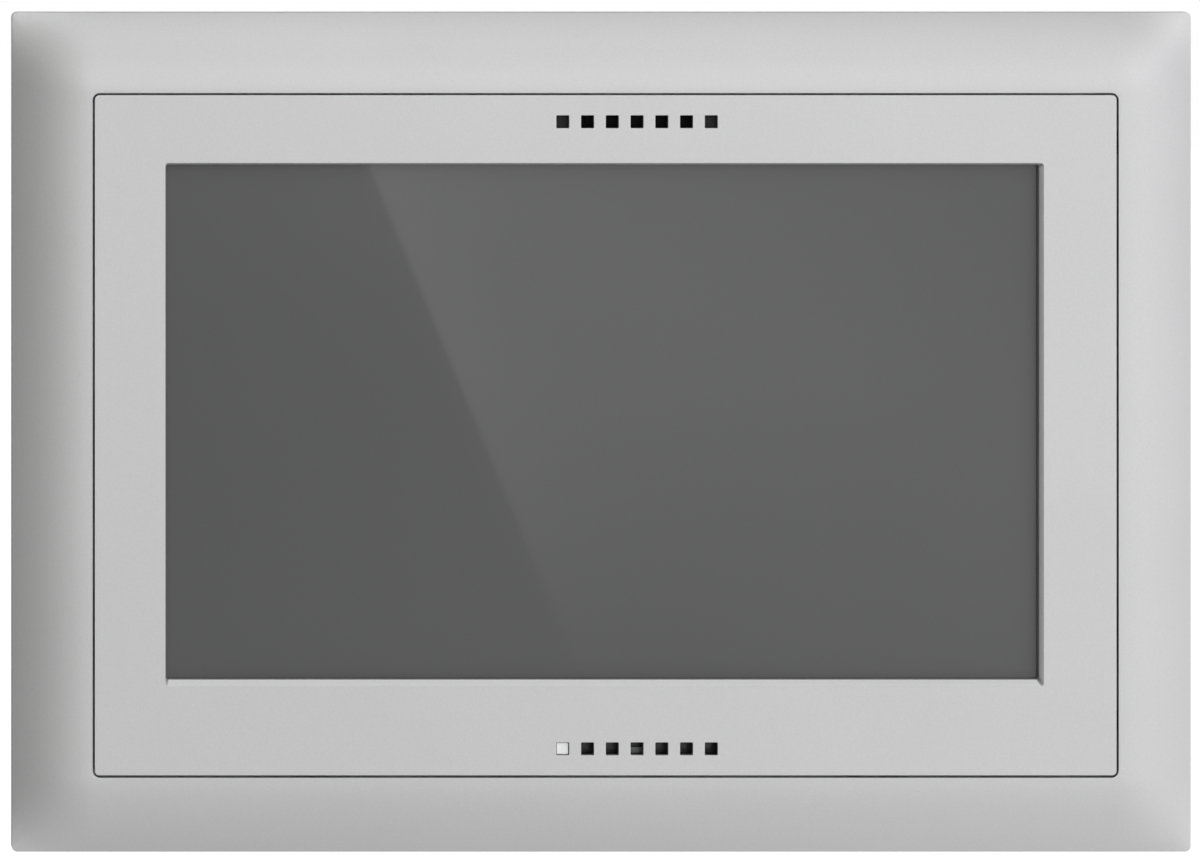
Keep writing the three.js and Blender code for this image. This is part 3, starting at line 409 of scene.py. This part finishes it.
def window_loops(b):
    """From the front face, over the edge and down the bevel, then the wider seat of the gasket."""
    loops = []
    for inset, drop in fillet_steps(WINDOW_FILLET):
        half_w, half_h = WINDOW_W / 2 + inset, WINDOW_H / 2 + inset
        outline = rounded_loop(half_w, half_h, WINDOW_CORNER + inset, (WINDOW_X, DISPLAY_Z))
        loops.append(b.loop(outline, FACE_Y + drop))
    half_w = (WINDOW_W - BEVEL_LEFT - BEVEL_RIGHT) / 2
    half_h = (WINDOW_H - BEVEL_TOP - BEVEL_BOTTOM) / 2
    centre = (WINDOW_X + (BEVEL_LEFT - BEVEL_RIGHT) / 2, DISPLAY_Z + (BEVEL_BOTTOM - BEVEL_TOP) / 2)
    seat = rounded_loop(half_w + GASKET_SLEEVE, half_h + GASKET_SLEEVE, SEAT_CORNER, centre)
    loops.append(b.loop(rounded_loop(half_w, half_h, WINDOW_CORNER, centre), FACE_Y + BEVEL_DEPTH))
    loops += [b.loop(seat, FACE_Y + BEVEL_DEPTH), b.loop(seat, FACE_Y + PLATE)]
    return loops


def vent_places():
    """Centre of every square opening, both rows."""
    return [(ROW_X + (i - 3) * VENT_PITCH, z) for z in (ROW_Z, -ROW_Z) for i in range(VENT_COUNT)]


def bezel_bosses():
    """Four tubes behind the bezel's face that take the screws of the carrier frame."""
    b = Builder()
    front, back = FACE_Y + PLATE - BOSS_ROOT, CARRIER_LO.y - BOSS_GAP
    for i in range(4):
        lo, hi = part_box(f"bezel_screw_{i + 1}")
        at = ((lo.x + hi.x) / 2, (lo.z + hi.z) / 2)
        profile = [(BOSS, front), (BOSS, back - BOSS_EDGE), (BOSS - BOSS_EDGE, back)]
        profile += [(PILOT + BOSS_EDGE, back), (PILOT, back - BOSS_EDGE), (PILOT, front)]
        loops = [b.loop(circle(radius, at), y) for radius, y in profile]
        b.skin(loops + loops[:1])
    b.piece("bezel_bosses", "display_unit", "silver_lacquer")


def circle(radius, centre, steps=28):
    """Outline of a circle as (x, z) pairs."""
    angles = [2 * math.pi * i / steps for i in range(steps)]
    return [(centre[0] + radius * math.cos(a), centre[1] + radius * math.sin(a)) for a in angles]


# ---------------------------------------------------------------- cover frame

COVER_CORNER = 1 * MM
COVER_INNER_CORNER = 1.3 * MM
COVER_WALL = 2 * MM
SKIRT_DRAFT = 0.06 * MM
OUTER_FILLET = 0.12 * MM
OUTER_FILLET_DROP = 0.75
LIP_FILLET = 0.07 * MM
LIP_DEPTH, LIP_WIDTH = 3 * MM, 1.8 * MM
LIP_RELIEF, RELIEF_START, RELIEF_END = 0.45 * MM, 0.2 * MM, 1.3 * MM
CORNER_REACH = 6 * MM  # how far past the band a corner's own points go
WIDER_GROOVE = 0.12 * MM  # on the right and below


def swell(distance):
    """Share of the full rise at a distance from an outer edge."""
    return 1 - (1 - min(distance / BAND, 1)) ** 2


def edge_drop(distance, radius):
    """How far a rounded edge has fallen at a distance from it."""
    if distance >= radius:
        return 0.0
    return radius - math.sqrt(max(radius**2 - (radius - distance) ** 2, 0))


def cover_corner(inset, radius, side_steps=14, arc_steps=6):
    """One corner of a loop inside the cover's outline, as distances from its two outer edges."""
    start, end = inset + radius, BAND + CORNER_REACH
    along = [start + (end - start) * (i / side_steps) for i in range(side_steps + 1)]
    arc = [math.radians(90) * i / arc_steps for i in range(arc_steps + 1)]
    points = [(inset, d) for d in reversed(along[1:])]
    points += [(start - radius * math.cos(a), start - radius * math.sin(a)) for a in arc]
    points += [(d, inset) for d in along[1:]]
    return points


def cover_loop(b, inset, height_at):
    """A loop of the cover at one inset, with its height from a rule of the two edge distances."""
    radius = COVER_CORNER + (COVER_INNER_CORNER - COVER_CORNER) * inset / BAND
    narrowed = 1 - WIDER_GROOVE / BAND
    outline, depths = [], []
    for sx, sz in [(1, 1), (-1, 1), (-1, -1), (1, -1)]:
        points = cover_corner(inset, radius)
        if sx * sz < 0:
            points.reverse()
        for u, v in points:
            x = COVER_HI.x - u * (narrowed if sx > 0 else 1)
            z = COVER_HI.z - v * (narrowed if sz < 0 else 1)
            outline.append((sx * x, sz * z))
            depths.append(WALL_Y - height_at(u, v))
    return b.loop(outline, depths)


def cover_frame():
    """The swelling front, its rounded outer edge, the lip at the groove and the hollow back."""
    b = Builder()

    def plain(u, v):
        return SKIRT + RISE * swell(u) * swell(v)

    def front(inset):
        drop = OUTER_FILLET_DROP * edge_drop(inset - SKIRT_DRAFT, OUTER_FILLET)
        drop += edge_drop(BAND - inset, LIP_FILLET)
        return lambda u, v: plain(u, v) - drop

    crest = SKIRT_DRAFT + OUTER_FILLET
    insets = [crest - OUTER_FILLET * math.cos(math.radians(15 * i)) for i in range(6)]
    insets += [crest + (BAND - crest - LIP_FILLET) * i / 28 for i in range(29)]
    rounding = [math.sin(math.radians(18 * i)) for i in range(1, 6)]
    insets += [BAND - LIP_FILLET + LIP_FILLET * share for share in rounding]
    loops = [cover_loop(b, 0, lambda u, v: 0)]
    loops += [cover_loop(b, inset, front(inset)) for inset in insets]
    lip_top = RISE + SKIRT
    lip_back = lip_top - LIP_DEPTH
    lip_inset = BAND - LIP_WIDTH
    relieved = BAND - LIP_RELIEF
    loops.append(cover_loop(b, BAND, lambda u, v: lip_top - RELIEF_START))
    loops.append(cover_loop(b, relieved, lambda u, v: lip_top - RELIEF_END))
    loops.append(cover_loop(b, relieved, lambda u, v: lip_back))
    loops.append(cover_loop(b, lip_inset, lambda u, v: lip_back))
    for i in range(9):
        inset = lip_inset + (COVER_WALL - lip_inset) * i / 8
        loops.append(cover_loop(b, inset, lambda u, v: plain(u, v) - COVER_WALL))
    loops.append(cover_loop(b, COVER_WALL, lambda u, v: 0))
    b.skin(loops + loops[:1])
    made = b.piece("cover_shell", "cover_frame", "silver_lacquer")
    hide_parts("cover_frame")


def cover_hooks():
    """Eight snap hooks that stand behind the cover, each with a wedge-shaped tip."""
    b = Builder()
    tip, root = WALL_Y - HOOK_TIP, WALL_Y - HOOK_ROOT
    x, z = COVER_HI.x - HOOK_INSET, COVER_HI.z - HOOK_INSET
    for sx, sz in [(1, 1), (-1, 1), (-1, -1), (1, -1)]:
        for at, half_x, half_z in [
            ((sx * x, sz * HOOK_ON_SIDE), HOOK_THICK / 2, HOOK_WIDE / 2),
            ((sx * HOOK_ON_TOP, sz * z), HOOK_WIDE / 2, HOOK_THICK / 2),
        ]:
            full = rounded_loop(half_x, half_z, 0.2 * MM, at, 3)
            small = rounded_loop(half_x - HOOK_WEDGE, half_z - HOOK_WEDGE, 0.1 * MM, at, 3)
            loops = [b.loop(full, root), b.loop(full, tip - 2 * HOOK_WEDGE), b.loop(small, tip)]
            b.skin(loops)
            b.fill(loops[0])
            b.fill(loops[-1])
    b.piece("cover_hooks", "cover_frame", "silver_lacquer")


# ---------------------------------------------------------------- CAD nodes that stay


# Nodes whose edges are crisper than the rest, and what the other nodes get.
FINE_EDGES = {"touch_glass": 0.06 * MM, "status_key": 0.04 * MM, "microphone": 0.05 * MM}
NODE_EDGE, NODE_EDGE_SHARE, NODE_EDGE_STEPS = 0.25 * MM, 0.12, 2
FLAT_WITHIN, ROUND_BEYOND = math.radians(1), math.radians(40)


def dress_node(node, slot):
    """Gives a CAD node its material, and modifiers for joined flat faces and small rounded edges.

    The nodes come in with every triangle separate, so the modifiers find nothing to join or round. All they
    change in the meshes is that 16 thin triangles drop out: 14 of carrier_frame, 1 of bus_pins and 1
    of lcd_cell.
    """
    piece = frame["nodes"][node]
    piece.data.materials.clear()
    piece.data.materials.append(MATERIALS[slot])
    if slot == "zinc_steel":
        return
    lo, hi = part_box(node)
    smallest = min(hi - lo)
    if slot != "grey_plastic":
        joined = piece.modifiers.new("flat faces", "DECIMATE")
        joined.decimate_type = "DISSOLVE"
        joined.angle_limit = FLAT_WITHIN
        rounded = piece.modifiers.new("rounded edges", "BEVEL")
        rounded.width = FINE_EDGES.get(node, min(NODE_EDGE, smallest * NODE_EDGE_SHARE))
        rounded.segments = NODE_EDGE_STEPS
        rounded.limit_method = "ANGLE"
        rounded.angle_limit = ROUND_BEYOND
    smooth(piece)


# ---------------------------------------------------------------- stage


FLOOR_HALF = 6.0
FLOOR_DROP = 0.15
FLOOR_GLOW, FLOOR_RAMP = 0.9, 0.5


def for_camera(n, seen, otherwise):
    """One value where the camera looks straight at it, and another for every other ray."""
    camera_ray = n.add("ShaderNodeLightPath").outputs["Is Camera Ray"]
    return n.add("ShaderNodeMix", {0: camera_ray, 2: otherwise, 3: seen}).outputs[0]


def stage_plane(name, corners, look):
    mesh = bpy.data.meshes.new(name)
    mesh.from_pydata(corners, [], [(0, 1, 2, 3)])
    mesh.materials.append(look)
    made = bpy.data.objects.new(name, mesh)
    bpy.context.scene.collection.objects.link(made)
    return made


def floor():
    """A pale floor that is white to the camera and throws more light up on the right than on the left."""
    look, n = material("floor")
    sideways = n.add("ShaderNodeSeparateXYZ", {0: n.position()}).outputs[0]
    bounce = n.spread(sideways, 0.0, FLOOR_GLOW, -FLOOR_RAMP, FLOOR_RAMP)
    n.surface(
        Base_Color=(0.4, 0.4, 0.4, 1),
        Roughness=0.8,
        Specular_IOR_Level=0.0,
        Emission_Color=(1, 1, 1, 1),
        Emission_Strength=for_camera(n, 1.0, bounce),
    )
    level = COVER_LO.z - FLOOR_DROP
    half = FLOOR_HALF
    corners = [(-half, -half), (half, -half), (half, half), (-half, half)]
    stage_plane("floor", [(x, y, level) for x, y in corners], look)


# Square softboxes that look at the panel: where each stands and its power in watts.
SOFTBOX_WIDTH = 1.0
SOFTBOXES = [
    (Vector((0.9, -0.9, 0.9)), 1.7),
    (Vector((0.0, -0.6, 1.4)), 4.98),
]

# Broad glows of the room round it: direction towards the light, strength and colour.
COOL, PLAIN, WARM = (0.985, 0.975, 1.04), (1, 1, 1), (1.015, 1.02, 0.965)
GLOWS = [
    (Vector((0.0, -1.0, 0.1)), 1.38, WARM),
    (Vector((0.8, -0.8, 0.1)), 1.41, COOL),
    (Vector((0, 1, -0.1)), 1.3, PLAIN),
]
GLOW_TIGHTNESS = 4.0


def softboxes():
    for i, (place, power) in enumerate(SOFTBOXES):
        light = bpy.data.lights.new(f"softbox_{i + 1}", "AREA")
        light.size = SOFTBOX_WIDTH
        light.energy = power
        made = bpy.data.objects.new(light.name, light)
        made.location = place
        made.rotation_euler = (-place).to_track_quat("-Z", "Y").to_euler()
        made.visible_camera = False
        bpy.context.scene.collection.objects.link(made)


def room():
    """Soft glows in front, on the right and behind, and plain white where the camera looks at it."""
    world = bpy.data.worlds.new("room")
    bpy.context.scene.world = world
    world.use_nodes = True
    n = Nodes(world.node_tree)
    direction = n.add("ShaderNodeTexCoord").outputs["Generated"]
    total = (0, 0, 0)
    for axis, strength, color in GLOWS:
        values = {0: direction, 1: axis.normalized()}
        facing = n.add("ShaderNodeVectorMath", values, operation="DOT_PRODUCT").outputs["Value"]
        glow = n.math("POWER", n.math("MAXIMUM", facing, 0.0), GLOW_TIGHTNESS)
        tinted = n.tint(color, n.math("MULTIPLY", glow, strength))
        total = n.add("ShaderNodeVectorMath", {0: total, 1: tinted}, operation="ADD").outputs[0]
    unseen = n.add("ShaderNodeBackground", {"Color": total})
    seen = n.add("ShaderNodeBackground", {"Color": (1, 1, 1, 1)})
    camera_ray = n.add("ShaderNodeLightPath").outputs["Is Camera Ray"]
    mixed = n.add("ShaderNodeMixShader", {0: camera_ray, 1: unseen.outputs[0], 2: seen.outputs[0]})
    n.add("ShaderNodeOutputWorld", {"Surface": mixed.outputs[0]})


# The bright wall that the glass mirrors: its slanting left edge, its fade towards the floor, its shine, and
# how its light falls off to the right of the edge, first quickly and then slowly.
CARD_AHEAD = 0.6
CARD_EDGE_X, CARD_EDGE_Z, CARD_SLANT = 0.0091, 0.0188, 0.4176
CARD_SOFT = 0.4 * MM
CARD_FADE_LO, CARD_FADE_HI = -0.134, -0.039
CARD_SHINE = 0.875
CARD_QUICK, CARD_QUICK_WIDTH = 0.3, 0.043
CARD_SLOW, CARD_SLOW_WIDTH = 0.6, 0.172
CARD_REACH = 0.5


def mirrored_wall():
    """A slanting bright field in front of the panel that only reflections show."""
    look, n = material("mirrored_wall")
    place = n.add("ShaderNodeSeparateXYZ", {0: n.position()})
    sideways, upward = place.outputs[0], place.outputs[2]
    slant = n.math("MULTIPLY", upward, -CARD_SLANT)
    edge = n.math("ADD", slant, CARD_EDGE_X + CARD_SLANT * CARD_EDGE_Z)
    past = n.math("SUBTRACT", sideways, edge)
    inside = n.spread(past, 0.0, 1.0, -CARD_SOFT, CARD_SOFT)
    quick = n.math("POWER", n.spread(past, 1.0, 0.0, 0.0, CARD_QUICK_WIDTH), 2.0)
    slow = n.spread(past, CARD_SLOW, 0.0, 0.0, CARD_SLOW_WIDTH)
    across = n.math("ADD", n.math("MULTIPLY", quick, CARD_QUICK), slow)
    height = n.spread(upward, 0.0, CARD_SHINE, CARD_FADE_LO, CARD_FADE_HI)
    strength = n.math("MULTIPLY", n.math("MULTIPLY", across, height), inside)
    glow = n.add("ShaderNodeEmission", {"Color": (1, 1, 1, 1), "Strength": strength})
    clear = n.add("ShaderNodeBsdfTransparent")
    both = n.add("ShaderNodeAddShader", {0: glow.outputs[0], 1: clear.outputs[0]})
    n.add("ShaderNodeOutputMaterial", {"Surface": both.outputs[0]})
    y = GLASS_LO.y - CARD_AHEAD
    reach = CARD_REACH
    corners = [(-reach, -reach), (reach, -reach), (reach, reach), (-reach, reach)]
    made = stage_plane("mirrored_wall", [(x, y, z) for x, z in corners], look)
    for ray in ("camera", "diffuse", "transmission", "volume_scatter", "shadow"):
        setattr(made, f"visible_{ray}", False)


# The photograph's viewpoint: square to the panel, from its upper left, framed with lens shift.
VIEW_DISTANCE = 1.0
VIEW_LEFT, VIEW_UP = 0.1278, 0.0973
VIEW_NEAR, FAR_AWAY = 0.006, 10
FRAME_WIDTH = 0.21432
SENSOR = 36.0
SHIFT = {"shift_x": 0.59155, "shift_y": -0.44998}


def camera():
    made = bpy.data.objects.new("camera", bpy.data.cameras.new("camera"))
    bpy.context.scene.collection.objects.link(made)
    made.location = (-VIEW_LEFT, FACE_Y - VIEW_DISTANCE, VIEW_UP)
    made.rotation_euler = (math.radians(90), 0, 0)
    made.data.sensor_width = SENSOR
    made.data.lens = SENSOR * VIEW_DISTANCE / FRAME_WIDTH
    for name, value in SHIFT.items():
        shift_from_here_only(made, name, value)
    bpy.context.scene.camera = made


def shift_from_here_only(made, name, value):
    """Shifts the lens while the camera's X is that of this viewpoint, so other views look straight ahead."""
    curve = made.data.driver_add(name)
    for modifier in list(curve.modifiers):
        curve.modifiers.remove(modifier)
    curve.driver.type = "AVERAGE"
    variable = curve.driver.variables.new()
    variable.type = "TRANSFORMS"
    variable.targets[0].id = made
    variable.targets[0].transform_type = "LOC_X"
    variable.targets[0].transform_space = "WORLD_SPACE"
    for x, shift in [(-FAR_AWAY, 0), (-VIEW_LEFT - VIEW_NEAR, value), (-VIEW_LEFT + VIEW_NEAR, 0)]:
        curve.keyframe_points.insert(x, shift).interpolation = "CONSTANT"


# ---------------------------------------------------------------- the whole scene

REBUILT = {"bezel", "cover_frame"}

for part in frame["record"]["subparts"]:
    if part["node"] not in REBUILT:
        dress_node(part["node"], part["material_slot"])

bezel()
bezel_bosses()
cover_frame()
cover_hooks()
floor()
softboxes()
room()
mirrored_wall()
camera()
bpy.context.scene.view_settings.view_transform = "Standard"
